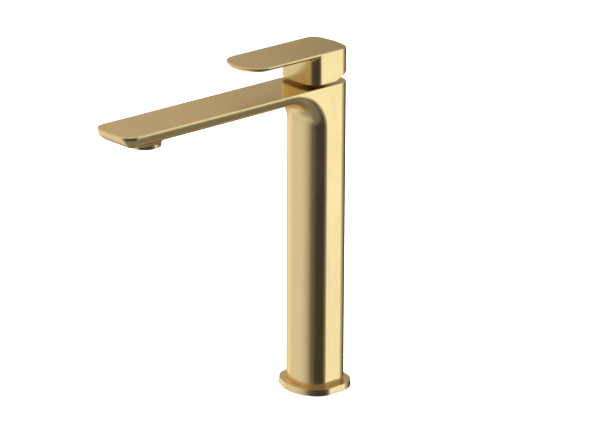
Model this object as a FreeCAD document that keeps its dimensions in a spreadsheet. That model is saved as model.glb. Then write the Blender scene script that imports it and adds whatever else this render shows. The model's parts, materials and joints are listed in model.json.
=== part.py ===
"""Tall single-lever basin mixer: a hollow cast column with a flat spout, a 35 mm ceramic
cartridge under a lever handle, an aerator in the spout and the water inlets in the foot.

Frame, millimetres: +Z up, the origin on the column's axis at the underside of the base
flange, the spout towards -Y, mirror symmetry about the plane X = 0.
"""
import FreeCAD, Part
import math
import os
import re
import Sketcher

# ---------------------------------------------------------------- driving sizes
# a text that starts with "=" is a size that follows another one
SIZES = {
    # outside of the body
    "body_width": 44.5,
    "body_depth": 42.0,
    "front_crown": "=body_width / 2 + 8.35",
    "back_crown": 62.4,
    "edge_round": 10.6,
    "spout_top": 270.4,
    "spout_reach": 217.4,
    "tip_corner": 11.4,
    "foot_relief": 0.5,
    "lip": 0.9,
    "rim_round": 0.45,
    "nose_round": 28.0,
    "nose_tilt": 27.0,
    "nose_blend": 6.0,
    "inner_bend": 24.0,
    # base flange and its seal
    "flange_overhang": 6.0,
    "flange_thickness": 5.4,
    "flange_opening": 15.4,
    "spigot_height": 2.0,
    "seal_inner": 20.0,
    "seal_width": 3.4,
    "seal_thickness": 1.5,
    # column cavity, seat floor and cartridge bore
    "cartridge_radius": 17.5,
    "column_bore": 17.4,
    "seat_depth": 48.0,
    "floor_thickness": 12.0,
    "chamber_gap": 0.7,
    "nut_radius": "=cartridge_radius + 1.5",
    "nut_thread_length": 10.2,
    "fit": 0.1,
    "running": 0.3,
    # waterway in the spout
    "duct_width": 21.0,
    "duct_height": 5.5,
    "duct_wall": 3.0,
    # outlet under the spout and the aerator in it
    "outlet_reach": 181.9,
    "outlet_radius": 13.4,
    "outlet_drop": 5.9,
    "outlet_flare": 4.0,
    "aerator_radius": 11.0,
    "aerator_recess": 0.5,
    "aerator_height": 5.6,
    "aerator_wall": 1.6,
    "gasket_thickness": 1.4,
    "outlet_hole": 8.8,
    "insert_lift": 0.4,
    "insert_height": 3.6,
    "jet_radius": 0.9,
    "regulator_hole": 3.0,
    # inlet block in the foot of the column
    "block_height": 20.0,
    "block_lift": 0.2,
    "inlet_spacing": 17.0,
    "inlet_offset": 3.5,
    "inlet_thread": 5.0,
    "inlet_depth": 12.0,
    "stud_thread": 4.0,
    "stud_offset": 8.5,
    "stud_depth": 15.0,
    # riser tubes and their seals
    "riser_radius": 4.0,
    "riser_bore": 3.1,
    "riser_socket": 5.0,
    "riser_ring": 0.8,
    "riser_entry": 6.0,
    # ceramic cartridge
    "base_height": 6.0,
    "disc_radius": "=cartridge_radius - 2.5",
    "disc_thickness": 4.0,
    "disc_gap": 0.05,
    "port_radius": 3.2,
    "port_ring": 0.9,
    "outlet_port": 3.6,
    "outlet_port_reach": 7.5,
    "window_lift": 2.0,
    "slider_radius": "=cartridge_radius - 6.5",
    "slider_thickness": 3.5,
    "slider_shift": 3.0,
    "carrier_flange": 2.5,
    "carrier_width": "=cartridge_radius - 1.5",
    "carrier_top": 21.6,
    "housing_top": 38.0,
    "housing_bore": "=cartridge_radius - 2.2",
    "housing_roof": 7.6,
    "shell_ring": 0.75,
    "turret_neck": 11.3,
    "turret_top": 45.6,
    "turret_ring": 0.6,
    "turret_ring_lift": 32.0,
    "limiter_outer": 14.0,
    "limiter_height": 2.4,
    "nut_height": 7.4,
    "key_slot_width": 4.0,
    "key_slot_depth": 2.0,
    "trim_thickness": 1.3,
    # lever axis and stem
    "pivot_lift": 34.6,
    "ball_drop": 16.0,
    "ball_radius": 3.2,
    "stem_width": 8.0,
    "stem_neck": 2.2,
    "stem_top": 31.5,
    "pin_radius": 1.5,
    "pin_length": 21.0,
    "pin_clearance": 0.05,
    "lever_lift": 22.0,
    # lever handle
    "handle_top": "=spout_top + 29.1",
    "handle_reach": 87.8,
    "handle_front_crown": "=body_width / 2 + 4.25",
    "handle_front_corner": 15.6,
    "handle_back": 20.5,
    "handle_back_corner": 9.4,
    "plate_thickness": 3.5,
    "plate_lip": 0.9,
    "block_front": 23.0,
    "block_front_crown": 80.0,
    "block_front_corner": 8.5,
    "block_gap": 2.9,
    "block_fillet": 3.0,
    "tilt_start": 2.1,
    "adapter_width": 12.0,
    "adapter_height": 16.0,
    "adapter_lift": 0.6,
    "grub_radius": 2.4,
    "grub_length": 8.0,
    "hex_key": 1.4,
    "grub_lift": 28.6,
    "cap_radius": 3.2,
    "cap_thickness": 1.6,
    "cap_recess": 0.4,
}

# names for lengths that several pieces share, each written in the sheet's own words
HALF_WIDTH = "body_width / 2"
HALF_DEPTH = "body_depth / 2"
UNDERSIDE = "(spout_top - lip - edge_round)"
SEAT = "(spout_top - seat_depth)"
PIVOT = "(spout_top - seat_depth + pivot_lift)"
BLOCK_BOTTOM = "(flange_thickness + spigot_height + block_lift)"
BLOCK_TOP = "(flange_thickness + spigot_height + block_lift + block_height)"
HANDLE_BOTTOM = "(spout_top + block_gap)"
OUTLET_BOTTOM = "(spout_top - lip - edge_round - outlet_drop)"
DUCT_BOTTOM = "(spout_top - lip - edge_round + duct_wall)"
DUCT_TOP = "(spout_top - lip - edge_round + duct_wall + duct_height)"
CHAMBER = "(cartridge_radius + chamber_gap)"
DISC_FACE = "(spout_top - seat_depth + base_height + disc_thickness)"
SLIDER_TOP = "(spout_top - seat_depth + base_height + disc_thickness + slider_thickness)"
FLOOR = "(spout_top - seat_depth - floor_thickness)"
BALL = "(spout_top - seat_depth + pivot_lift - ball_drop)"
CARRIER_TOP = "(spout_top - seat_depth + carrier_top)"
GRUB = "(spout_top - seat_depth + pivot_lift + grub_lift)"
BEND_Y = "-(body_depth / 2 + inner_bend)"
BEND_Z = "(spout_top - lip - edge_round - inner_bend)"
DUCT_INNER = "inner_bend + duct_wall"

doc = FreeCAD.newDocument("BasinMixer")
sheet = doc.addObject("Spreadsheet::Sheet", "Sizes")
for row, (alias, number) in enumerate(SIZES.items(), 1):
    sheet.set("A%d" % row, alias)
    sheet.set("B%d" % row, str(number))
    sheet.setAlias("B%d" % row, alias)
doc.recompute()

nodes = []


# ---------------------------------------------------------------- sheet and sketch helpers
def formula(text):
    """The text with each size name pointed at its cell."""
    return re.sub(r"[a-z]\w+", lambda word: "Sizes." + word.group(0)
                  if word.group(0) in SIZES else word.group(0), text)


def number_of(text):
    return float(sheet.evalExpression(formula(text)))


def new_body(name):
    body = doc.addObject("PartDesign::Body", name)
    body.Label = name
    nodes.append(body)
    return body


def origin_plane(body, role):
    return [item for item in body.Origin.OriginFeatures if item.Role == role][0]


def new_sketch(body, name, role, offset="0"):
    """A sketch on one of the body's own origin planes, moved along that plane's normal."""
    sketch = body.newObject("Sketcher::SketchObject", body.Name + "_" + name)
    sketch.AttachmentSupport = [(origin_plane(body, role), "")]
    sketch.MapMode = "FlatFace"
    sketch.setExpression("AttachmentOffset.Base.z", formula(offset))
    return sketch


def bind(sketch, constraint, text):
    index = sketch.addConstraint(constraint)
    sketch.setExpression("Constraints[%d]" % index, formula(text))


def place_point(sketch, item, point, across, up):
    """Tie one point of a sketch to the sheet, measured from the sketch's origin."""
    for direction, axis, text in (("X", -2, across), ("Y", -1, up)):
        if text == "0":
            sketch.addConstraint(Sketcher.Constraint("PointOnObject", item, point, axis))
        else:
            bind(sketch, Sketcher.Constraint("Distance" + direction, -1, 1, item, point,
                                             number_of(text)), text)


def add_circle(sketch, radius, across="0", up="0"):
    centre = FreeCAD.Vector(number_of(across), number_of(up), 0)
    item = sketch.addGeometry(Part.Circle(centre, FreeCAD.Vector(0, 0, 1), number_of(radius)))
    place_point(sketch, item, 3, across, up)
    bind(sketch, Sketcher.Constraint("Radius", item, number_of(radius)), radius)


def add_polygon(sketch, points):
    corners = [FreeCAD.Vector(number_of(x), number_of(y), 0) for x, y in points]
    count = len(corners)
    first = sketch.GeometryCount
    for index in range(count):
        sketch.addGeometry(Part.LineSegment(corners[index], corners[(index + 1) % count]))
    for index in range(count):
        following = first + (index + 1) % count
        sketch.addConstraint(Sketcher.Constraint("Coincident", first + index, 2, following, 1))
    for index in range(count):
        place_point(sketch, first + index, 1, *points[index])


def add_rectangle(sketch, low_x, high_x, low_y, high_y):
    add_polygon(sketch, [(low_x, low_y), (high_x, low_y), (high_x, high_y), (low_x, high_y)])


def crowned_end(half, reach, crown, corner):
    """Centre height and half angle of a crowned end whose arc meets the corner arcs."""
    across = half - corner
    centre = reach - crown + math.sqrt((crown - corner) ** 2 - across ** 2)
    return centre, math.asin(across / (crown - corner))


def add_crowned_outline(sketch, half, front, back):
    """Flat sides, and at each end one long arc between two corner arcs.

    front and back are (reach, crown radius, corner radius) in the sheet's words; a corner
    of "0" leaves that end's corners sharp.
    """
    half_mm = number_of(half)
    up = FreeCAD.Vector(0, 0, 1)
    ends = []
    for side, (reach, crown, corner) in ((-1, front), (1, back)):
        reach_mm, crown_mm, corner_mm = [number_of(item) for item in (reach, crown, corner)]
        centre, angle = crowned_end(half_mm, reach_mm, crown_mm, corner_mm)
        ends.append((side, reach, crown, corner, side * centre, angle))
    front_y, front_angle = ends[0][4:]
    back_y, back_angle = ends[1][4:]
    quarter = math.pi / 2

    def arc(x, y, radius, start, stop):
        circle = Part.Circle(FreeCAD.Vector(x, y, 0), up, number_of(radius))
        return Part.ArcOfCircle(circle, start, stop)

    def crown_centre(reach, crown, side):
        return side * (number_of(reach) - number_of(crown))

    chain = [("side", Part.LineSegment(FreeCAD.Vector(half_mm, front_y, 0),
                                       FreeCAD.Vector(half_mm, back_y, 0)), None)]
    for side, reach, crown, corner, centre_y, angle in (ends[1], ends[0]):
        start = 0 if side > 0 else 2 * quarter
        corner_x = side * (half_mm - number_of(corner))
        if corner != "0":
            chain.append(("corner", arc(corner_x, centre_y, corner, start,
                                        start + quarter - angle), corner))
        chain.append(("crown", arc(0, crown_centre(reach, crown, side), crown,
                                   start + quarter - angle, start + quarter + angle),
                      (reach, crown, side)))
        if corner != "0":
            chain.append(("corner", arc(-corner_x, centre_y, corner, start + quarter + angle,
                                        start + 2 * quarter), corner))
        if side > 0:
            chain.append(("side", Part.LineSegment(FreeCAD.Vector(-half_mm, back_y, 0),
                                                   FreeCAD.Vector(-half_mm, front_y, 0)), None))
    first = sketch.GeometryCount
    kinds = [kind for kind, shape, words in chain]
    for kind, shape, words in chain:
        sketch.addGeometry(shape)
    for index, kind in enumerate(kinds):
        following = (index + 1) % len(kinds)
        meets = "Tangent" if "corner" in (kind, kinds[following]) else "Coincident"
        sketch.addConstraint(Sketcher.Constraint(meets, first + index, 2, first + following, 1))
    for index, (kind, shape, words) in enumerate(chain, first):
        if kind == "side":
            text = half if index == first else "-(" + half + ")"
            sketch.addConstraint(Sketcher.Constraint("Vertical", index))
            bind(sketch, Sketcher.Constraint("DistanceX", -1, 1, index, 1, number_of(text)), text)
        elif kind == "corner":
            bind(sketch, Sketcher.Constraint("Radius", index, number_of(words)), words)
        else:
            reach, crown, side = words
            text = "%d * ((%s) - (%s))" % (side, reach, crown)
            bind(sketch, Sketcher.Constraint("Radius", index, number_of(crown)), crown)
            place_point(sketch, index, 3, "0", text)


# ---------------------------------------------------------------- feature helpers
def finish_feature(body, feature, before, grows):
    doc.recompute()
    change = body.Shape.Volume - before
    if (change > 0) != grows or change == 0:
        raise RuntimeError("%s changed the volume by %.3f" % (feature.Name, change))
    return feature


def volume_of(body):
    return body.Shape.Volume if body.Tip else 0.0


def pad(body, name, sketch, length, both_ways=False, reverse=False):
    before = volume_of(body)
    feature = body.newObject("PartDesign::Pad", body.Name + "_" + name)
    feature.Profile = sketch
    feature.Midplane = both_ways
    feature.Reversed = reverse
    feature.setExpression("Length", formula(length))
    sketch.Visibility = False
    return finish_feature(body, feature, before, True)


def pocket(body, name, sketch, length, both_ways=False, reverse=False):
    before = volume_of(body)
    feature = body.newObject("PartDesign::Pocket", body.Name + "_" + name)
    feature.Profile = sketch
    feature.Midplane = both_ways
    feature.Reversed = reverse
    feature.setExpression("Length", formula(length))
    return finish_feature(body, feature, before, False)


def turn(body, name, points, cut=False, along="0"):
    """Turn a (radius, height) outline about the vertical axis that lies along -Y."""
    before = volume_of(body)
    sketch = new_sketch(body, name + "_outline", "XZ_Plane", along)
    add_polygon(sketch, points)
    kind = "PartDesign::Groove" if cut else "PartDesign::Revolution"
    feature = body.newObject(kind, body.Name + "_" + name)
    feature.Profile = sketch
    feature.ReferenceAxis = (sketch, ["V_Axis"])
    feature.Angle = 360
    return finish_feature(body, feature, before, not cut)


def round_edges(body, name, radius, wanted):
    """Fillet every edge of the body's last feature that the test picks."""
    base = body.Tip
    picked = ["Edge%d" % (index + 1) for index, edge in enumerate(base.Shape.Edges)
              if wanted(edge, edge.BoundBox)]
    feature = body.newObject("PartDesign::Fillet", body.Name + "_" + name)
    feature.Base = (base, picked)
    feature.setExpression("Radius", formula(radius))
    doc.recompute()
    return feature


def ring(name, inner, outer, low, high, along="0"):
    """A plain ring or tube about a vertical axis."""
    body = new_body(name)
    turn(body, "section", [(inner, low), (outer, low), (outer, high), (inner, high)],
         along=along)
    return body


def near(first, second, slack=0.01):
    return abs(first - second) < slack


# ---------------------------------------------------------------- mixer body
def body_shell(body):
    """The outside: column, spout, the bend between them and the rounded edges."""
    column = new_sketch(body, "column_outline", "XY_Plane", "flange_thickness")
    add_crowned_outline(column, HALF_WIDTH, (HALF_DEPTH, "front_crown", "0"),
                        (HALF_DEPTH, "back_crown", "edge_round"))
    pad(body, "column", column, "spout_top - flange_thickness")
    spout = new_sketch(body, "spout_outline", "XY_Plane", UNDERSIDE)
    add_rectangle(spout, "-(" + HALF_WIDTH + ")", HALF_WIDTH, "-spout_reach", "0")
    pad(body, "spout", spout, "lip + edge_round")
    half = number_of(HALF_WIDTH)
    under = number_of(UNDERSIDE)
    reach = number_of("spout_reach")
    round_edges(body, "tip", "tip_corner", lambda edge, box:
                near(box.YMin, -reach) and near(box.YMax, -reach) and box.ZLength > 1)
    top = number_of("spout_top")
    round_edges(body, "rim", "rim_round", lambda edge, box: near(box.ZMin, top))
    round_edges(body, "bend", "inner_bend", lambda edge, box:
                near(box.ZMin, under) and near(box.ZMax, under) and box.YMax < -1
                and box.YMin > -reach / 2 and box.XLength > half)
    front = number_of(HALF_DEPTH) * 0.5
    round_edges(body, "edges", "edge_round", lambda edge, box:
                box.YMax < -front and box.ZMax < under + 0.01 and box.ZMax > number_of(
                    "flange_thickness") + 1 and (near(abs(box.XMin), half)
                                                 or near(abs(box.XMax), half)
                                                 or near(box.YMin, -reach)))
    cut_nose(body)


def cut_nose(body):
    """Sweep the spout's front up from the underside to the lip: a long arc after a short one."""
    outline = new_sketch(body, "nose_outline", "YZ_Plane")
    lip_level = "(spout_top - lip)"
    centre_y = "(nose_round * cos(nose_tilt) - spout_reach)"
    centre_z = "(" + lip_level + " + nose_round * sin(nose_tilt))"
    outside_y = "-(spout_reach + nose_blend)"
    below_z = "(" + UNDERSIDE + " - nose_blend)"
    y, z, radius = number_of(centre_y), number_of(centre_z), number_of("nose_round")
    under, blend = number_of(UNDERSIDE), number_of("nose_blend")
    lean = math.asin((z - under - blend) / (radius - blend))
    foot_y = y - (radius - blend) * math.cos(lean)
    up = FreeCAD.Vector(0, 0, 1)
    long_circle = Part.Circle(FreeCAD.Vector(y, z, 0), up, radius)
    short_circle = Part.Circle(FreeCAD.Vector(foot_y, under + blend, 0), up, blend)
    sweep = outline.addGeometry(Part.ArcOfCircle(
        long_circle, math.pi + math.radians(number_of("nose_tilt")), math.pi + lean))
    foot = outline.addGeometry(Part.ArcOfCircle(short_circle, math.pi + lean, 1.5 * math.pi))
    corners = [FreeCAD.Vector(*point, 0) for point in (
        (foot_y, under), (foot_y, number_of(below_z)),
        (number_of(outside_y), number_of(below_z)),
        (number_of(outside_y), number_of(lip_level)),
        (-number_of("spout_reach"), number_of(lip_level)))]
    for index, kind in enumerate(("Vertical", "Horizontal", "Vertical", "Horizontal")):
        line = outline.addGeometry(Part.LineSegment(corners[index], corners[index + 1]))
        outline.addConstraint(Sketcher.Constraint("Coincident", line - 1, 2, line, 1))
        outline.addConstraint(Sketcher.Constraint(kind, line))
    outline.addConstraint(Sketcher.Constraint("Coincident", line, 2, sweep, 1))
    outline.addConstraint(Sketcher.Constraint("Tangent", sweep, 2, foot, 1))
    outline.addConstraint(Sketcher.Constraint("Vertical", foot, 3, foot, 2))
    place_point(outline, sweep, 3, centre_y, centre_z)
    bind(outline, Sketcher.Constraint("Radius", sweep, radius), "nose_round")
    bind(outline, Sketcher.Constraint("Radius", foot, blend), "nose_blend")
    bind(outline, Sketcher.Constraint("DistanceY", -1, 1, foot, 2, under), UNDERSIDE)
    bind(outline, Sketcher.Constraint("DistanceX", -1, 1, sweep, 1, corners[4].x),
         "-spout_reach")
    place_point(outline, line - 1, 1, outside_y, below_z)
    pocket(body, "nose", outline, "2 * body_width", both_ways=True)


def body_outlet(body):
    """The round outlet under the spout, flared into the underside, and its aerator socket."""
    shoulder = OUTLET_BOTTOM + " + aerator_recess + aerator_height + gasket_thickness"
    turn(body, "outlet", [("0", OUTLET_BOTTOM), ("outlet_radius", OUTLET_BOTTOM),
                          ("outlet_radius", UNDERSIDE + " + duct_wall / 2"),
                          ("0", UNDERSIDE + " + duct_wall / 2")], along="outlet_reach")
    under = number_of(UNDERSIDE)
    centre = FreeCAD.Vector(0, -number_of("outlet_reach"), 0)

    def on_outlet(edge, box):
        gaps = [abs(math.hypot(point.X, point.Y - centre.y) - number_of("outlet_radius"))
                for point in edge.Vertexes]
        return max(gaps) < 0.01 and box.ZMin > under - 0.01 and box.XLength > 0.1

    round_edges(body, "flare", "outlet_flare", on_outlet)
    turn(body, "socket", [("0", OUTLET_BOTTOM + " - 1"), ("aerator_radius", OUTLET_BOTTOM + " - 1"),
                          ("aerator_radius", shoulder), ("outlet_hole", shoulder),
                          ("outlet_hole", DUCT_BOTTOM + " + 1"), ("0", DUCT_BOTTOM + " + 1")],
         cut=True, along="outlet_reach")


def body_waterway(body):
    """A flat duct from the cartridge chamber, round the bend and along the spout."""
    run = new_sketch(body, "duct_outline", "YZ_Plane")
    add_rectangle(run, "-(outlet_reach + outlet_hole)", BEND_Y, DUCT_BOTTOM, DUCT_TOP)
    pocket(body, "duct", run, "duct_width", both_ways=True)
    bend = new_sketch(body, "duct_bend_outline", "YZ_Plane")
    centre = FreeCAD.Vector(number_of(BEND_Y), number_of(BEND_Z), 0)
    rays = []
    for radius in (DUCT_INNER, DUCT_INNER + " + duct_height"):
        circle = Part.Circle(centre, FreeCAD.Vector(0, 0, 1), number_of(radius))
        item = bend.addGeometry(Part.ArcOfCircle(circle, 0, math.pi / 2))
        place_point(bend, item, 3, BEND_Y, BEND_Z)
        bind(bend, Sketcher.Constraint("Radius", item, number_of(radius)), radius)
        rays.append(number_of(radius))
    inner, outer = rays
    level = bend.addGeometry(Part.LineSegment(centre + FreeCAD.Vector(inner, 0, 0),
                                              centre + FreeCAD.Vector(outer, 0, 0)))
    upright = bend.addGeometry(Part.LineSegment(centre + FreeCAD.Vector(0, inner, 0),
                                                centre + FreeCAD.Vector(0, outer, 0)))
    for line, end in ((level, 1), (upright, 2)):
        for arc, point in ((0, 1), (1, 2)):
            bend.addConstraint(Sketcher.Constraint("Coincident", arc, end, line, point))
    bend.addConstraint(Sketcher.Constraint("Horizontal", level))
    bend.addConstraint(Sketcher.Constraint("Vertical", upright))
    bind(bend, Sketcher.Constraint("DistanceY", -1, 1, level, 1, centre.y), BEND_Z)
    bind(bend, Sketcher.Constraint("DistanceX", -1, 1, upright, 1, centre.x), BEND_Y)
    pocket(body, "duct_bend", bend, "duct_width", both_ways=True)


def inlet_circles(sketch, radius):
    """One circle on the hot side and one on the cold side."""
    for side in ("-", ""):
        add_circle(sketch, radius, side + "inlet_spacing / 2", "inlet_offset")


def mixer_body():
    body = new_body("mixer_body")
    body_shell(body)
    body_outlet(body)
    turn(body, "column_bore", [("0", "flange_thickness - 1"), ("column_bore", "flange_thickness - 1"),
                               ("column_bore", FLOOR), ("0", FLOOR)], cut=True)
    thread = "spout_top - nut_thread_length"
    turn(body, "chamber", [("0", SEAT), (CHAMBER, SEAT), (CHAMBER, thread),
                           ("nut_radius + fit", thread), ("nut_radius + fit", "spout_top + 1"),
                           ("0", "spout_top + 1")], cut=True)
    body_waterway(body)
    sockets = new_sketch(body, "riser_sockets_outline", "XY_Plane", FLOOR)
    inlet_circles(sockets, "riser_radius + fit")
    pocket(body, "riser_sockets", sockets, "riser_entry + 2 * riser_ring", reverse=True)
    ports = new_sketch(body, "ports_outline", "XY_Plane", FLOOR)
    inlet_circles(ports, "port_radius")
    pocket(body, "ports", ports, "floor_thickness + 1", reverse=True)
    foot = new_sketch(body, "foot_relief_outline", "XY_Plane", "flange_thickness")
    for grow in ("- foot_relief", "+ flange_overhang"):
        reach = HALF_DEPTH + grow
        add_crowned_outline(foot, HALF_WIDTH + grow,
                            (reach, "front_crown" + grow, "edge_round" + grow),
                            (reach, "back_crown" + grow, "edge_round" + grow))
    pocket(body, "foot_relief", foot, "foot_relief", reverse=True)


# ---------------------------------------------------------------- foot
def base_flange():
    body = new_body("base_flange")
    outline = new_sketch(body, "plate_outline", "XY_Plane")
    reach = HALF_DEPTH + " + flange_overhang"
    corner = "edge_round + flange_overhang"
    add_crowned_outline(outline, HALF_WIDTH + " + flange_overhang",
                        (reach, "front_crown + flange_overhang", corner),
                        (reach, "back_crown + flange_overhang", corner))
    pad(body, "plate", outline, "flange_thickness")
    spigot = new_sketch(body, "spigot_outline", "XY_Plane", "flange_thickness")
    add_circle(spigot, "column_bore - fit")
    pad(body, "spigot", spigot, "spigot_height")
    opening = new_sketch(body, "opening_outline", "XY_Plane")
    add_circle(opening, "flange_opening")
    pocket(body, "opening", opening, "flange_thickness + spigot_height", reverse=True)
    groove = new_sketch(body, "seal_groove_outline", "XY_Plane")
    add_circle(groove, "seal_inner - fit")
    add_circle(groove, "seal_inner + seal_width + fit")
    pocket(body, "seal_groove", groove, "seal_thickness", reverse=True)


def inlet_block():
    """The brass block in the column's foot: two hose inlets and the fixing stud's thread."""
    body = new_body("inlet_block")
    turn(body, "block", [("0", BLOCK_BOTTOM), ("column_bore - fit", BLOCK_BOTTOM),
                         ("column_bore - fit", BLOCK_TOP), ("0", BLOCK_TOP)])
    inlets = new_sketch(body, "inlets_outline", "XY_Plane", BLOCK_BOTTOM)
    inlet_circles(inlets, "inlet_thread")
    pocket(body, "inlets", inlets, "inlet_depth", reverse=True)
    passages = new_sketch(body, "passages_outline", "XY_Plane", BLOCK_BOTTOM)
    inlet_circles(passages, "riser_bore")
    pocket(body, "passages", passages, "block_height", reverse=True)
    sockets = new_sketch(body, "sockets_outline", "XY_Plane", BLOCK_TOP)
    inlet_circles(sockets, "riser_radius + fit")
    pocket(body, "sockets", sockets, "riser_socket")
    stud = new_sketch(body, "stud_outline", "XY_Plane", BLOCK_BOTTOM)
    add_circle(stud, "stud_thread", "0", "-stud_offset")
    pocket(body, "stud", stud, "stud_depth", reverse=True)


def o_ring(name, major, minor, height, across="0", along="0"):
    item = doc.addObject("Part::Torus", name)
    item.Label = name
    for prop, text in (("Radius1", major), ("Radius2", minor), ("Placement.Base.x", across),
                       ("Placement.Base.y", along), ("Placement.Base.z", height)):
        item.setExpression(prop, formula(text))
    nodes.append(item)
    doc.recompute()


def supply_side(side, word):
    """The riser tube of one side with the seals at its top and under the cartridge."""
    across = side + "inlet_spacing / 2"
    low = BLOCK_TOP + " - riser_socket"
    body = new_body(word + "_riser_tube")
    tube = new_sketch(body, "tube_outline", "XY_Plane", low)
    add_circle(tube, "riser_radius", across, "inlet_offset")
    add_circle(tube, "riser_bore", across, "inlet_offset")
    pad(body, "tube", tube, FLOOR + " + riser_entry - (" + low + ")")
    o_ring(word + "_riser_seal", "riser_radius - riser_ring", "riser_ring",
           FLOOR + " + riser_entry + riser_ring", across, "inlet_offset")
    o_ring(word + "_port_seal", "port_radius + running + port_ring", "port_ring",
           SEAT + " + port_ring", across, "inlet_offset")


# ---------------------------------------------------------------- ceramic cartridge
def cartridge_base():
    """The cartridge's foot: two inlet ports and a side window for the mixed water."""
    body = new_body("cartridge_base")
    top = SEAT + " + base_height"
    turn(body, "disc", [("0", SEAT), ("cartridge_radius", SEAT), ("cartridge_radius", top),
                        ("0", top)])
    ports = new_sketch(body, "ports_outline", "XY_Plane", SEAT)
    inlet_circles(ports, "port_radius")
    pocket(body, "ports", ports, "base_height", reverse=True)
    seals = new_sketch(body, "seal_seats_outline", "XY_Plane", SEAT)
    inlet_circles(seals, "port_radius + running + 2 * port_ring + fit")
    pocket(body, "seal_seats", seals, "2 * port_ring", reverse=True)
    outlet = new_sketch(body, "outlet_outline", "XY_Plane", top)
    add_circle(outlet, "outlet_port", "0", "-outlet_port_reach")
    pocket(body, "outlet", outlet, "base_height - window_lift")
    window = new_sketch(body, "window_outline", "XZ_Plane", "outlet_port_reach")
    add_rectangle(window, "-outlet_port", "outlet_port", SEAT + " + window_lift",
                  top + " - window_lift / 2")
    pocket(body, "window", window, "cartridge_radius", reverse=True)


def fixed_ceramic_disc():
    body = new_body("fixed_ceramic_disc")
    low = SEAT + " + base_height"
    turn(body, "disc", [("0", low), ("disc_radius", low), ("disc_radius", DISC_FACE),
                        ("0", DISC_FACE)])
    ports = new_sketch(body, "ports_outline", "XY_Plane", DISC_FACE)
    inlet_circles(ports, "port_radius")
    add_circle(ports, "outlet_port", "0", "-outlet_port_reach")
    pocket(body, "ports", ports, "disc_thickness")


def moving_ceramic_disc():
    body = new_body("moving_ceramic_disc")
    low = DISC_FACE + " + disc_gap"
    disc = new_sketch(body, "disc_outline", "XY_Plane", low)
    add_circle(disc, "slider_radius", "0", "slider_shift")
    pad(body, "disc", disc, "slider_thickness - disc_gap")
    recess = new_sketch(body, "mixing_recess_outline", "XY_Plane", low)
    add_circle(recess, "slider_radius / 2", "0", "slider_shift")
    pocket(body, "mixing_recess", recess, "slider_thickness / 2", reverse=True)


def disc_carrier():
    """The plate on the moving disc, with a block for the turret's rails and the stem's ball."""
    body = new_body("disc_carrier")
    plate = new_sketch(body, "plate_outline", "XY_Plane", SLIDER_TOP)
    add_circle(plate, "slider_radius", "0", "slider_shift")
    pad(body, "plate", plate, "carrier_flange")
    block = new_sketch(body, "block_outline", "XY_Plane", SLIDER_TOP)
    half = "carrier_width / 2"
    add_rectangle(block, "-" + half, half, "slider_shift - " + half, "slider_shift + " + half)
    pad(body, "block", block, CARRIER_TOP + " - " + SLIDER_TOP)
    hole = new_sketch(body, "ball_hole_outline", "XY_Plane", CARRIER_TOP)
    add_circle(hole, "ball_radius + running")
    pocket(body, "ball_hole", hole, CARRIER_TOP + " - (" + BALL + " - ball_radius - running)")


def cartridge_housing():
    body = new_body("cartridge_housing")
    low = SEAT + " + base_height"
    top = SEAT + " + housing_top"
    roof = top + " - housing_roof"
    groove = top + " - housing_roof / 2"
    neck = "turret_neck + running"
    inner = CHAMBER + " - 2 * shell_ring - fit"
    half = "(shell_ring + fit)"
    turn(body, "shell", [("housing_bore", low), ("cartridge_radius", low),
                         ("cartridge_radius", groove + " - " + half),
                         (inner, groove + " - " + half), (inner, groove + " + " + half),
                         ("cartridge_radius", groove + " + " + half),
                         ("cartridge_radius", top), (neck, top), (neck, roof),
                         ("housing_bore", roof)])
    o_ring("housing_seal", CHAMBER + " - shell_ring - fit / 2", "shell_ring", groove)


def turret():
    """The rotating head: rails below for the carrier, a slot for the stem, the pin's bore."""
    body = new_body("turret")
    low = SLIDER_TOP + " + carrier_flange + running"
    shoulder = SEAT + " + housing_top - housing_roof - running"
    top = SEAT + " + turret_top"
    ring_height = SEAT + " + turret_ring_lift"
    groove = "turret_neck + running - 2 * turret_ring - fit"
    half = "(turret_ring + fit)"
    turn(body, "head", [("0", low), ("housing_bore - running", low),
                        ("housing_bore - running", shoulder), ("turret_neck", shoulder),
                        ("turret_neck", ring_height + " - " + half),
                        (groove, ring_height + " - " + half), (groove, ring_height + " + " + half),
                        ("turret_neck", ring_height + " + " + half), ("turret_neck", top),
                        ("0", top)])
    rails = new_sketch(body, "rail_slot_outline", "XZ_Plane")
    half_slot = "(carrier_width / 2 + running)"
    add_rectangle(rails, "-" + half_slot, half_slot, low + " - 1", CARRIER_TOP + " + running")
    pocket(body, "rail_slot", rails, "2 * cartridge_radius", both_ways=True)
    slot = new_sketch(body, "stem_slot_outline", "YZ_Plane")
    side = "(stem_width / 2 + 2 * running)"
    above = top + " + 1"
    add_polygon(slot, [("-" + side, above), ("-" + side, PIVOT),
                       ("-" + side + " - tan(lever_lift) * (" + PIVOT + " - " + CARRIER_TOP + ")",
                        CARRIER_TOP), (side, CARRIER_TOP), (side, PIVOT),
                       (side + " + tan(lever_lift) * (" + above + " - " + PIVOT + ")", above)])
    pocket(body, "stem_slot", slot, "stem_width + 2 * running", both_ways=True)
    pin_bore(body)
    o_ring("turret_seal", "turret_neck + running - turret_ring - fit / 2", "turret_ring",
           ring_height)


def pin_bore(body):
    bore = new_sketch(body, "pin_bore_outline", "YZ_Plane")
    add_circle(bore, "pin_radius + pin_clearance", "0", PIVOT)
    pocket(body, "pin_bore", bore, "2 * cartridge_radius", both_ways=True)


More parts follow.
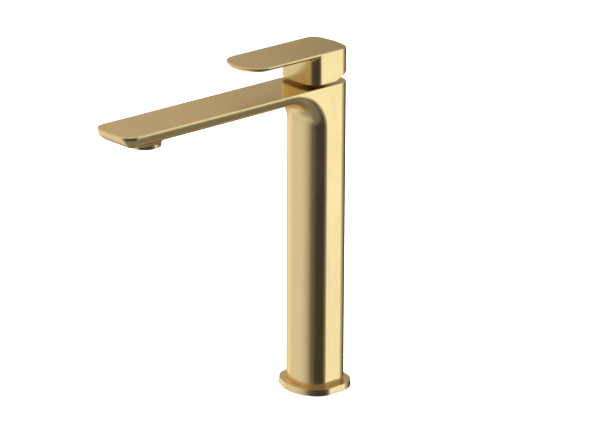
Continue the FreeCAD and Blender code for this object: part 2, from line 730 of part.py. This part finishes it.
def stem():
    """Square shank above the pivot pin, round neck below it and a ball in the carrier."""
    body = new_body("stem")
    shank = new_sketch(body, "shank_outline", "XY_Plane", PIVOT + " - stem_width / 2")
    half = "stem_width / 2"
    add_rectangle(shank, "-" + half, half, "-" + half, half)
    pad(body, "shank", shank, "stem_width / 2 + stem_top")
    turn(body, "neck", [("0", BALL), ("stem_neck", BALL), ("stem_neck", PIVOT + " - stem_width"),
                        (half, PIVOT + " - stem_width / 2"), ("0", PIVOT + " - stem_width / 2")])
    ball = body.newObject("PartDesign::AdditiveSphere", "stem_ball")
    ball.AttachmentSupport = [(origin_plane(body, "XY_Plane"), "")]
    ball.MapMode = "FlatFace"
    ball.setExpression("AttachmentOffset.Base.z", formula(BALL))
    ball.setExpression("Radius", formula("ball_radius"))
    doc.recompute()
    pin_bore(body)


def stem_pin():
    body = new_body("stem_pin")
    circle = new_sketch(body, "pin_outline", "YZ_Plane")
    add_circle(circle, "pin_radius", "0", PIVOT)
    pad(body, "pin", circle, "pin_length", both_ways=True)


def retaining_parts():
    """Limiter ring, the nut that holds the cartridge down, and the ring that hides the nut."""
    shoulder = SEAT + " + housing_top"
    nut_top = shoulder + " + nut_height"
    ring("temperature_limiter_ring", "turret_neck + running + fit", "limiter_outer", shoulder,
         shoulder + " + limiter_height")
    nut = ring("cartridge_retaining_nut", "limiter_outer + running", "nut_radius", shoulder,
               nut_top)
    slot = new_sketch(nut, "key_slot_outline", "XZ_Plane")
    half = "key_slot_width / 2"
    add_rectangle(slot, "-" + half, half, nut_top + " - key_slot_depth", nut_top + " + 1")
    cut = pocket(nut, "key_slot", slot, "nut_radius + 1")
    pattern = nut.newObject("PartDesign::PolarPattern", "nut_key_slots")
    pattern.Originals = [cut]
    pattern.Axis = (slot, ["V_Axis"])
    pattern.Angle = 360
    pattern.Occurrences = 4
    nut.Tip = pattern
    doc.recompute()
    ring("cartridge_trim_ring", "turret_neck + running + 2 * fit", "nut_radius", nut_top + " + fit",
         nut_top + " + fit + trim_thickness")


# ---------------------------------------------------------------- lever handle
def screw_sketch(body, name, radius, along):
    sketch = new_sketch(body, name, "XZ_Plane", "-(" + along + ")")
    add_circle(sketch, radius, "0", GRUB)
    return sketch


def lever_handle():
    """A thin plate over a solid block; the block's back is cut away for the lift."""
    body = new_body("lever_handle")
    under = "(handle_top - plate_thickness)"
    back = ("handle_back", "back_crown", "handle_back_corner")
    plate = new_sketch(body, "plate_outline", "XY_Plane", under)
    add_crowned_outline(plate, HALF_WIDTH,
                        ("handle_reach", "handle_front_crown", "handle_front_corner"), back)
    pad(body, "plate", plate, "plate_thickness")
    low = number_of(under)
    round_edges(body, "plate_edge", "plate_thickness - plate_lip",
                lambda edge, box: near(box.ZMax, low))
    block = new_sketch(body, "block_outline", "XY_Plane", HANDLE_BOTTOM)
    add_crowned_outline(block, HALF_WIDTH,
                        ("block_front", "block_front_crown", "block_front_corner"), back)
    pad(body, "block", block, "handle_top - " + HANDLE_BOTTOM)
    top = number_of("handle_top")
    round_edges(body, "plate_rim", "rim_round", lambda edge, box: near(box.ZMin, top))
    front = -number_of("block_front")
    round_edges(body, "block_fillet", "block_fillet", lambda edge, box:
                near(box.ZMin, low) and near(box.ZMax, low)
                and (near(box.YMin, front) or box.YMin > front))
    relief = new_sketch(body, "lift_relief_outline", "YZ_Plane")
    behind = "(handle_back + tilt_start)"
    add_polygon(relief, [("tilt_start", HANDLE_BOTTOM), ("tilt_start", "spout_top - 1"),
                         (behind, "spout_top - 1"),
                         (behind, HANDLE_BOTTOM + " + tan(lever_lift) * handle_back")])
    pocket(body, "lift_relief", relief, "2 * body_width", both_ways=True)
    socket = new_sketch(body, "adapter_socket_outline", "XY_Plane", HANDLE_BOTTOM)
    half = "(adapter_width / 2 + fit)"
    add_rectangle(socket, "-" + half, half, "-" + half, half)
    pocket(body, "adapter_socket", socket, "adapter_lift + adapter_height + fit", reverse=True)
    outside = "handle_back + 1"
    hole = screw_sketch(body, "grub_hole_outline", "grub_radius + fit", outside)
    pocket(body, "grub_hole", hole, outside + " - adapter_width / 2", reverse=True)
    seat = screw_sketch(body, "cap_seat_outline", "cap_radius + fit / 2", outside)
    pocket(body, "cap_seat", seat, "1 + cap_recess + cap_thickness", reverse=True)


def stem_adapter():
    """The square sleeve that carries the handle on the stem."""
    body = new_body("stem_adapter")
    low = HANDLE_BOTTOM + " + adapter_lift"
    outer = new_sketch(body, "outer_outline", "XY_Plane", low)
    half = "adapter_width / 2"
    add_rectangle(outer, "-" + half, half, "-" + half, half)
    pad(body, "outer", outer, "adapter_height")
    inner = new_sketch(body, "inner_outline", "XY_Plane", low)
    half = "(stem_width / 2 + fit / 2)"
    add_rectangle(inner, "-" + half, half, "-" + half, half)
    pocket(body, "inner", inner, PIVOT + " + stem_top + fit - (" + low + ")", reverse=True)
    hole = screw_sketch(body, "grub_hole_outline", "grub_radius + fit", half)
    pocket(body, "grub_hole", hole, "adapter_width")


def handle_fixings():
    grub = new_body("handle_grub_screw")
    tip = "stem_width / 2 + fit / 2"
    shank = screw_sketch(grub, "shank_outline", "grub_radius", tip)
    pad(grub, "shank", shank, "grub_length", reverse=True)
    key = new_sketch(grub, "hex_key_outline", "XZ_Plane", "-(" + tip + " + grub_length)")
    add_polygon(key, [("hex_key * cos(%d)" % turned, GRUB + " + hex_key * sin(%d)" % turned)
                      for turned in range(30, 390, 60)])
    pocket(grub, "hex_key", key, "grub_length / 3", reverse=True)
    cap = new_body("handle_screw_cap")
    disc = screw_sketch(cap, "disc_outline", "cap_radius", "handle_back - cap_recess")
    pad(cap, "disc", disc, "cap_thickness")


# ---------------------------------------------------------------- aerator
def drill_circle(body, name, height, radius, reach, count, depth):
    """A ring of small holes through the aerator's insert."""
    sketch = new_sketch(body, name + "_outline", "XY_Plane", height)
    add_circle(sketch, radius, reach, "-outlet_reach")
    hole = pocket(body, name, sketch, depth)
    centre = body.newObject("PartDesign::Line", body.Name + "_" + name + "_axis")
    centre.AttachmentSupport = [(origin_plane(body, "XY_Plane"), "")]
    centre.MapMode = "ObjectZ"
    centre.setExpression("AttachmentOffset.Base.y", formula("-outlet_reach"))
    pattern = body.newObject("PartDesign::PolarPattern", body.Name + "_" + name + "_ring")
    pattern.Originals = [hole]
    pattern.Axis = (centre, [""])
    pattern.Angle = 360
    pattern.Occurrences = count
    body.Tip = pattern
    doc.recompute()


def aerator():
    """Threaded collar, its plastic insert, the flow regulator on top and the gasket."""
    low = OUTLET_BOTTOM + " + aerator_recess"
    top = low + " + aerator_height"
    outer = "aerator_radius - fit"
    inner = "aerator_radius - fit - aerator_wall"
    core = "aerator_radius - 2 * fit - aerator_wall"
    ring("aerator_collar", inner, outer, low, top, along="outlet_reach")
    ring("aerator_gasket", "outlet_hole", outer, top, top + " + gasket_thickness",
         along="outlet_reach")
    insert = new_body("aerator_insert")
    insert_top = low + " + insert_lift + insert_height"
    turn(insert, "disc", [("0", low + " + insert_lift"), (core, low + " + insert_lift"),
                          (core, insert_top), ("0", insert_top)], along="outlet_reach")
    for name, reach, count in (("inner_holes", "3 * jet_radius", 6),
                               ("outer_holes", "6 * jet_radius", 12)):
        drill_circle(insert, name, insert_top, "jet_radius", reach, count, "insert_height + 1")
    ring("flow_regulator", "regulator_hole", core, insert_top + " + fit", top + " - fit",
         along="outlet_reach")


mixer_body()
base_flange()
ring("base_seal_ring", "seal_inner", "seal_inner + seal_width", "0", "seal_thickness")
inlet_block()
for side, word in (("-", "hot"), ("", "cold")):
    supply_side(side, word)
cartridge_base()
fixed_ceramic_disc()
moving_ceramic_disc()
disc_carrier()
cartridge_housing()
turret()
stem()
stem_pin()
retaining_parts()
lever_handle()
stem_adapter()
handle_fixings()
aerator()

# ---------------------------------------------------------------- checks and export
doc.recompute()
for item in doc.Objects:
    if "Invalid" in item.State or "Error" in item.State:
        raise RuntimeError("%s failed: %s" % (item.Name, item.State))
for node in nodes:
    if node.Shape.isNull() or not node.Shape.isValid():
        raise RuntimeError("%s has no valid shape" % node.Label)
os.makedirs("parts", exist_ok=True)
for node in nodes:
    node.Shape.exportStep("parts/%s.step" % node.Label)
    print(node.Label, round(node.Shape.Volume, 1), len(node.Shape.Solids))
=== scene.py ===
import json
import math

import bpy
from mathutils import Matrix, Vector


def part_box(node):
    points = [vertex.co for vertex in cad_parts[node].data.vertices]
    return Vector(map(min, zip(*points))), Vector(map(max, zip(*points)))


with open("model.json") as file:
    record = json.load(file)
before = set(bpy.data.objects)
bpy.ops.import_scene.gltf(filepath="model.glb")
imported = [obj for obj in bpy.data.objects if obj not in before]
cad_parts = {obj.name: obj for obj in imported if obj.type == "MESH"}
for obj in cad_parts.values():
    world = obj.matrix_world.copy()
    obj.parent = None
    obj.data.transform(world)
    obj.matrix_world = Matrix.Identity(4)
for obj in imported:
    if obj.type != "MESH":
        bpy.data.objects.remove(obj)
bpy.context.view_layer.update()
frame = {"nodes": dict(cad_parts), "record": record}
RECORD = frame["record"]
NODES = frame["nodes"]

# camera: angles in degrees, lengths in metres, fitted to the photograph's view
VIEW_AZIMUTH = 48.05
VIEW_ELEVATION = 19.556
VIEW_ROLL = 0.253
VIEW_TARGET = Vector((0.0, 0.0, 0.1352))
VIEW_DISTANCE = 2.735
VIEW_RIGHT = -0.01232
VIEW_UP = 0.01831
VIEW_FARTHEST = 50.0
LENS = 196.04
SENSOR = 36.0

# floor and overhead light, in metres and watts
FLOOR_HALF = 4.0
FLOOR_DROP = 0.0002
LIGHT_SIDE = 2.4
LIGHT_POWER = 95.0
LIGHT_PLACE = (-0.2, 0.3, 2.2)

# the bend from column to spout, in metres: its centre lies one radius in front of the column's axis
BEND_RADIUS = 0.045
BEND_BELOW_TOP = 0.0355
BODY_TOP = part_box("mixer_body")[1].z
BEND_Y = -BEND_RADIUS
BEND_Z = BODY_TOP - BEND_BELOW_TOP
# the radius at which the way round a turned part is measured as a length, in metres
TURNED_RADIUS = 0.02

# colours, and the part of a noise's range that carries almost all of its values
GOLD_LIGHT = (0.94, 0.765, 0.42)
GOLD_DARK = (0.87, 0.695, 0.365)
EDGE_TINT = (0.95, 0.84, 0.68)
FLOOR_GREY = (0.9, 0.9, 0.9)
NOISE_LOW = 0.3
NOISE_HIGH = 0.7

# noise scales, per metre: the gold's brush lines across the grain and along it, and the clouds of colour
GOLD_GRAIN = (1400.0, 26.0)
CLOUDS_ON_METAL = 26.0
CLOUDS_ON_MOULDED = 60.0
# how deep the gold's brush lines are, in metres, and how strongly each kind of bump shows
GOLD_DEPTH = 0.000006
METAL_BUMP = 0.6
MOULDED_BUMP = 0.5


# ---- nodes


def put(tree, socket, value):
    """Set a socket to a number or colour, or join it to another node's output."""
    if isinstance(value, bpy.types.NodeSocket):
        tree.links.new(value, socket)
    else:
        socket.default_value = value


def node(tree, kind, **settings):
    made = tree.nodes.new(kind)
    for key, value in settings.items():
        setattr(made, key, value)
    return made


def math_node(tree, operation, *values):
    made = node(tree, "ShaderNodeMath", operation=operation)
    for index, value in enumerate(values):
        put(tree, made.inputs[index], value)
    return made.outputs[0]


def add(tree, first, second):
    return math_node(tree, "ADD", first, second)


def multiply(tree, first, second):
    return math_node(tree, "MULTIPLY", first, second)


def hypotenuse(tree, first, second):
    return math_node(tree, "SQRT", add(tree, multiply(tree, first, first), multiply(tree, second, second)))


def weighted(tree, *parts):
    """The sum of (value, share) pairs."""
    terms = [multiply(tree, value, share) for value, share in parts]
    total = terms[-1]
    for term in reversed(terms[:-1]):
        total = add(tree, term, total)
    return total


def combine(tree, *parts):
    made = node(tree, "ShaderNodeCombineXYZ")
    for socket, value in zip(made.inputs, parts):
        put(tree, socket, value)
    return made.outputs[0]


def separate(tree, vector):
    made = node(tree, "ShaderNodeSeparateXYZ")
    put(tree, made.inputs[0], vector)
    return tuple(made.outputs)


def scaled(tree, vector, factors):
    made = node(tree, "ShaderNodeMapping")
    made.inputs["Scale"].default_value = factors
    put(tree, made.inputs["Vector"], vector)
    return made.outputs[0]


def ramp(tree, source, stops):
    """A grey value by position; the stops are (position, value) pairs from 0 to 1."""
    made = node(tree, "ShaderNodeValToRGB")
    elements = made.color_ramp.elements
    while len(elements) < len(stops):
        elements.new(0.5)
    for element, (position, value) in zip(elements, stops):
        element.position = position
        element.color = (value, value, value, 1.0)
    put(tree, made.inputs[0], source)
    return made.outputs[0]


def noise(tree, vector, scale, detail, roughness, distortion=0.0):
    made = node(tree, "ShaderNodeTexNoise")
    made.inputs["Scale"].default_value = scale
    made.inputs["Detail"].default_value = detail
    made.inputs["Roughness"].default_value = roughness
    made.inputs["Distortion"].default_value = distortion
    put(tree, made.inputs["Vector"], vector)
    return made.outputs["Fac"]


def stretched(tree, value, low, high):
    """A noise value spread over the range from low to high."""
    made = node(tree, "ShaderNodeMapRange")
    made.inputs["From Min"].default_value = NOISE_LOW
    made.inputs["From Max"].default_value = NOISE_HIGH
    made.inputs["To Min"].default_value = low
    made.inputs["To Max"].default_value = high
    put(tree, made.inputs["Value"], value)
    return made.outputs[0]


def tinted(tree, tone, light, dark):
    """The dark colour where the tone is low, turning to the light colour where it is high."""
    made = node(tree, "ShaderNodeMix", data_type="RGBA")
    made.inputs[6].default_value = (*dark, 1.0)
    made.inputs[7].default_value = (*light, 1.0)
    put(tree, made.inputs[0], ramp(tree, tone, ((NOISE_LOW, 0.0), (NOISE_HIGH, 1.0))))
    return made.outputs[2]


def bumped(tree, shader, height, distance, strength):
    made = node(tree, "ShaderNodeBump")
    made.inputs["Distance"].default_value = distance
    made.inputs["Strength"].default_value = strength
    put(tree, made.inputs["Height"], height)
    put(tree, shader.inputs["Normal"], made.outputs[0])


# ---- directions of the grain, in metres: two parts across it and one along it


def object_point(tree):
    """The point on the object at rest."""
    return node(tree, "ShaderNodeTexCoord").outputs["Object"]


def along_spine(tree):
    """Grain that runs up the column, round the bend and out along the spout."""
    x, y, z = separate(tree, object_point(tree))
    behind = math_node(tree, "SUBTRACT", y, BEND_Y)
    above = math_node(tree, "SUBTRACT", z, BEND_Z)
    behind_in = math_node(tree, "MAXIMUM", behind, 0.0)
    above_in = math_node(tree, "MAXIMUM", above, 0.0)
    depth = hypotenuse(tree, behind_in, above_in)
    turn = multiply(tree, math_node(tree, "ARCTAN2", above_in, behind_in), BEND_RADIUS)
    below = math_node(tree, "MINIMUM", above, 0.0)
    ahead = math_node(tree, "MAXIMUM", multiply(tree, behind, -1.0), 0.0)
    return combine(tree, x, depth, add(tree, add(tree, below, turn), ahead))


def along_y(tree):
    """Grain that runs along the lever."""
    x, y, z = separate(tree, object_point(tree))
    return combine(tree, x, z, y)


def round_axis(tree):
    """Grain that runs round the column's axis, as on a turned part."""
    x, y, z = separate(tree, object_point(tree))
    way = multiply(tree, math_node(tree, "ARCTAN2", y, x), TURNED_RADIUS)
    return combine(tree, hypotenuse(tree, x, y), z, way)


# ---- materials


def new_material(name):
    material = bpy.data.materials.new(name)
    material.use_nodes = True
    tree = material.node_tree
    tree.nodes.clear()
    shader = node(tree, "ShaderNodeBsdfPrincipled")
    output = node(tree, "ShaderNodeOutputMaterial")
    put(tree, output.inputs[0], shader.outputs[0])
    return material, tree, shader


def brushed_metal(name, grain_of, light, dark, smooth, rough, grain=GOLD_GRAIN, depth=GOLD_DEPTH):
    """Metal with fine brush lines along the grain, soft colour bands and cloudy changes of gloss."""
    material, tree, shader = new_material(name)
    place = grain_of(tree)
    across, along = grain
    fine = noise(tree, scaled(tree, place, (across, across, along)), 1.0, 3.0, 0.6)
    bands = noise(tree, scaled(tree, place, (across / 6, across / 6, along / 3)), 1.0, 2.0, 0.5)
    clouds = noise(tree, object_point(tree), CLOUDS_ON_METAL, 3.0, 0.5, 0.4)
    tone = weighted(tree, (fine, 0.45), (bands, 0.25), (clouds, 0.3))
    gloss = weighted(tree, (fine, 0.5), (clouds, 0.5))
    put(tree, shader.inputs["Base Color"], tinted(tree, tone, light, dark))
    put(tree, shader.inputs["Roughness"], stretched(tree, gloss, smooth, rough))
    shader.inputs["Metallic"].default_value = 1.0
    shader.inputs["Specular Tint"].default_value = (*EDGE_TINT, 1.0)
    bumped(tree, shader, fine, depth, METAL_BUMP)
    return material


def moulded(name, light, dark, smooth, rough, grain, depth, specular=0.5):
    """Plastic, rubber or fired ceramic: a fine even grain with cloudy colour."""
    material, tree, shader = new_material(name)
    point = object_point(tree)
    speckle = noise(tree, point, grain, 4.0, 0.6)
    clouds = noise(tree, point, CLOUDS_ON_MOULDED, 2.0, 0.5)
    tone = weighted(tree, (speckle, 0.4), (clouds, 0.6))
    put(tree, shader.inputs["Base Color"], tinted(tree, tone, light, dark))
    put(tree, shader.inputs["Roughness"], stretched(tree, speckle, smooth, rough))
    shader.inputs["Specular IOR Level"].default_value = specular
    bumped(tree, shader, speckle, depth, MOULDED_BUMP)
    return material


def brushed_gold(name, grain_of):
    return brushed_metal(name, grain_of, GOLD_LIGHT, GOLD_DARK, 0.17, 0.25)


MATERIALS = {
    "body": brushed_gold("brushed_gold_spine", along_spine),
    "lever": brushed_gold("brushed_gold_lever", along_y),
    "turned": brushed_gold("brushed_gold_turned", round_axis),
    "raw_brass": brushed_metal(
        "raw_brass", round_axis, (0.80, 0.62, 0.30), (0.62, 0.44, 0.18), 0.22, 0.38, (900.0, 40.0), 0.00002
    ),
    "stem_brass": brushed_metal(
        "stem_brass", round_axis, (0.82, 0.66, 0.38), (0.68, 0.52, 0.27), 0.16, 0.28, (1100.0, 40.0), 0.00001
    ),
    "pin_steel": brushed_metal(
        "pin_steel", along_y, (0.62, 0.62, 0.63), (0.46, 0.46, 0.48), 0.18, 0.30, (1200.0, 60.0), 0.00001
    ),
    "disc_ceramic": moulded(
        "disc_ceramic", (0.88, 0.87, 0.84), (0.80, 0.79, 0.76), 0.16, 0.26, 2500.0, 0.000004
    ),
    "cartridge_plastic": moulded(
        "cartridge_plastic", (0.78, 0.78, 0.76), (0.70, 0.70, 0.68), 0.42, 0.56, 1800.0, 0.00002
    ),
    "limiter_plastic": moulded(
        "limiter_plastic", (0.60, 0.10, 0.07), (0.50, 0.07, 0.05), 0.40, 0.55, 1800.0, 0.00002
    ),
    "aerator_plastic": moulded(
        "aerator_plastic", (0.52, 0.53, 0.53), (0.42, 0.43, 0.44), 0.38, 0.52, 2000.0, 0.00002
    ),
    "seal_rubber": moulded(
        "seal_rubber", (0.045, 0.045, 0.047), (0.02, 0.02, 0.021), 0.55, 0.75, 1500.0, 0.00003, 0.3
    ),
}
GOLD_MATERIAL = {"mixer_body": "body", "lever_handle": "lever", "handle_screw_cap": "lever"}


def finish_nodes():
    for part in RECORD["subparts"]:
        name = part["node"]
        slot = part["material_slot"]
        if slot == "brushed_gold":
            slot = GOLD_MATERIAL.get(name, "turned")
        mesh = NODES[name].data
        mesh.materials.clear()
        mesh.materials.append(MATERIALS[slot])
        for polygon in mesh.polygons:
            polygon.material_index = 0


# ---- studio

# The light on the metal comes from walls in the world: bright ones to the left and right of the mixer, a
# dimmer back, a ceiling, a glow on the horizon and a pale ground. Each has a tint, its strength by azimuth
# in degrees (0 in front of the spout, 90 to its +X side) and its strength by the sine of the elevation.
LEFT_WALL = (
    (1.0, 0.96, 0.9),
    (
        (-180, 0.0), (-128, 0.04), (-115, 0.14), (-109, 0.60), (-103, 1.0), (-90, 1.06), (-69, 0.79),
        (-28, 0.77), (-18, 0.70), (-8, 0.59), (0, 0.44), (8, 0.19), (13, 0.10), (23, 0.05), (48, 0.035),
        (92, 0.035), (180, 0.0),
    ),
    (
        (-1.0, 0.1), (-0.88, 0.3), (-0.77, 0.75), (-0.6, 0.75), (-0.42, 1.0), (-0.2, 1.0), (-0.12, 0.3),
        (-0.05, 0.08), (0.1, 0.08), (0.2, 0.5), (0.3, 0.72), (0.6, 0.4), (1.0, 0.1),
    ),
)
BACK_WALL = (
    (1.0, 0.92, 0.86),
    (
        (-180, 0.16), (-160, 0.18), (-138, 0.18), (-133.4, 0.23), (-132.4, 0.33), (-131.2, 0.47),
        (-129, 0.50), (-126, 0.54), (-118, 0.40), (-100, 0.0), (150, 0.0), (180, 0.14),
    ),
    (
        (-1.0, 0.3), (-0.6, 0.5), (-0.4, 0.3), (-0.2, 0.1), (0.08, 0.06), (0.15, 0.4), (0.23, 1.0),
        (0.5, 1.0), (1.0, 0.4),
    ),
)
RIGHT_WALL = (
    (1.0, 1.02, 0.95),
    (
        (-180, 0.0), (92, 0.0), (104, 0.05), (113, 0.14), (121, 0.28), (126, 0.6), (130, 1.3), (135, 1.3),
        (139, 0.86), (146, 0.55), (156, 0.36), (168, 0.22), (180, 0.05),
    ),
    (
        (-1.0, 0.0), (-0.7, 0.1), (-0.6, 0.1), (-0.48, 0.05), (-0.43, 0.85), (-0.4, 1.03), (-0.2, 1.0),
        (-0.12, 0.3), (-0.05, 0.08), (0.15, 0.12), (0.3, 0.3), (0.6, 0.4), (1.0, 0.2),
    ),
)
CEILING = (
    (1.0, 1.0, 1.0),
    ((-180, 1.0), (180, 1.0)),
    ((-1.0, 0.0), (0.4, 0.0), (0.6, 0.45), (0.75, 0.9), (1.0, 0.8)),
)
HORIZON = (
    (1.0, 0.98, 0.95),
    (
        (-180, 0.8), (-155, 0.8), (-145, 0.0), (-112, 0.0), (-102, 0.8), (-70, 0.8), (-60, 0.0), (-30, 0.0),
        (-20, 0.5), (15, 0.6), (60, 0.75), (112, 0.75), (120, 0.0), (145, 0.0), (155, 0.8), (180, 0.8),
    ),
    ((-1.0, 0.0), (-0.15, 0.0), (-0.05, 1.0), (0.12, 1.0), (0.22, 0.12), (0.4, 0.08), (1.0, 0.0)),
)
GROUND = (
    (1.0, 0.97, 0.9),
    ((-180, 0.6), (-120, 0.7), (0, 1.0), (140, 1.0), (165, 0.7), (180, 0.6)),
    ((-1.0, 0.22), (-0.78, 0.19), (-0.68, 0.16), (-0.6, 0.10), (-0.5, 0.02), (-0.42, 0.0), (1.0, 0.0)),
)
WALLS = (LEFT_WALL, BACK_WALL, RIGHT_WALL, CEILING, HORIZON, GROUND)


def make_floor():
    mesh = bpy.data.meshes.new("floor")
    corners = [(-FLOOR_HALF, -FLOOR_HALF, 0), (FLOOR_HALF, -FLOOR_HALF, 0)]
    corners += [(FLOOR_HALF, FLOOR_HALF, 0), (-FLOOR_HALF, FLOOR_HALF, 0)]
    mesh.from_pydata(corners, [], [(0, 1, 2, 3)])
    floor = bpy.data.objects.new("floor", mesh)
    bpy.context.scene.collection.objects.link(floor)
    floor.location.z = -FLOOR_DROP
    material, _, shader = new_material("floor")
    shader.inputs["Base Color"].default_value = (*FLOOR_GREY, 1.0)
    shader.inputs["Roughness"].default_value = 0.9
    shader.inputs["Specular IOR Level"].default_value = 0.1
    mesh.materials.append(material)
    floor.visible_glossy = False


def wall_light(tree, way, height, wall):
    """One wall's light as a colour, from the azimuth and height of the direction, each from 0 to 1."""
    tint, by_azimuth, by_height = wall
    sideways = ramp(tree, way, [((degrees + 180) / 360, value) for degrees, value in by_azimuth])
    upwards = ramp(tree, height, [((sine + 1) / 2, value) for sine, value in by_height])
    strength = multiply(tree, sideways, upwards)
    return combine(tree, *[multiply(tree, strength, channel) for channel in tint])


def make_room():
    world = bpy.data.worlds.new("studio")
    bpy.context.scene.world = world
    world.use_nodes = True
    tree = world.node_tree
    tree.nodes.clear()
    direction = node(tree, "ShaderNodeTexCoord").outputs["Generated"]
    x, y, z = separate(tree, direction)
    turn = math_node(tree, "ARCTAN2", x, multiply(tree, y, -1.0))
    way = add(tree, math_node(tree, "DIVIDE", turn, 2 * math.pi), 0.5)
    height = multiply(tree, add(tree, z, 1.0), 0.5)
    total = wall_light(tree, way, height, WALLS[0])
    for wall in WALLS[1:]:
        sum_node = node(tree, "ShaderNodeVectorMath", operation="ADD")
        put(tree, sum_node.inputs[0], total)
        put(tree, sum_node.inputs[1], wall_light(tree, way, height, wall))
        total = sum_node.outputs[0]
    background = node(tree, "ShaderNodeBackground")
    put(tree, background.inputs["Color"], total)
    output = node(tree, "ShaderNodeOutputWorld")
    put(tree, output.inputs[0], background.outputs[0])


def make_overhead_light():
    data = bpy.data.lights.new("overhead", "AREA")
    data.shape = "RECTANGLE"
    data.size = LIGHT_SIDE
    data.size_y = LIGHT_SIDE
    data.energy = LIGHT_POWER
    light = bpy.data.objects.new("overhead", data)
    light.location = LIGHT_PLACE
    light.visible_glossy = False
    bpy.context.scene.collection.objects.link(light)


def make_camera():
    azimuth = math.radians(VIEW_AZIMUTH)
    elevation = math.radians(VIEW_ELEVATION)
    roll = math.radians(VIEW_ROLL)
    level = math.cos(elevation)
    back = Vector((math.sin(azimuth) * level, -math.cos(azimuth) * level, math.sin(elevation)))
    right = (-back).cross(Vector((0, 0, 1))).normalized()
    up = right.cross(-back)
    place = VIEW_TARGET + back * VIEW_DISTANCE + right * VIEW_RIGHT + up * VIEW_UP
    side = right * math.cos(roll) + up * math.sin(roll)
    top = up * math.cos(roll) - right * math.sin(roll)
    data = bpy.data.cameras.new("camera")
    data.lens = LENS
    data.sensor_fit = "HORIZONTAL"
    data.sensor_width = SENSOR
    data.clip_end = VIEW_FARTHEST
    camera = bpy.data.objects.new("camera", data)
    camera.matrix_world = Matrix(
        (
            (side.x, top.x, back.x, place.x),
            (side.y, top.y, back.y, place.y),
            (side.z, top.z, back.z, place.z),
            (0, 0, 0, 1),
        )
    )
    bpy.context.scene.collection.objects.link(camera)
    bpy.context.scene.camera = camera


finish_nodes()
make_floor()
make_room()
make_overhead_light()
make_camera()
bpy.context.scene.view_settings.view_transform = "Standard"
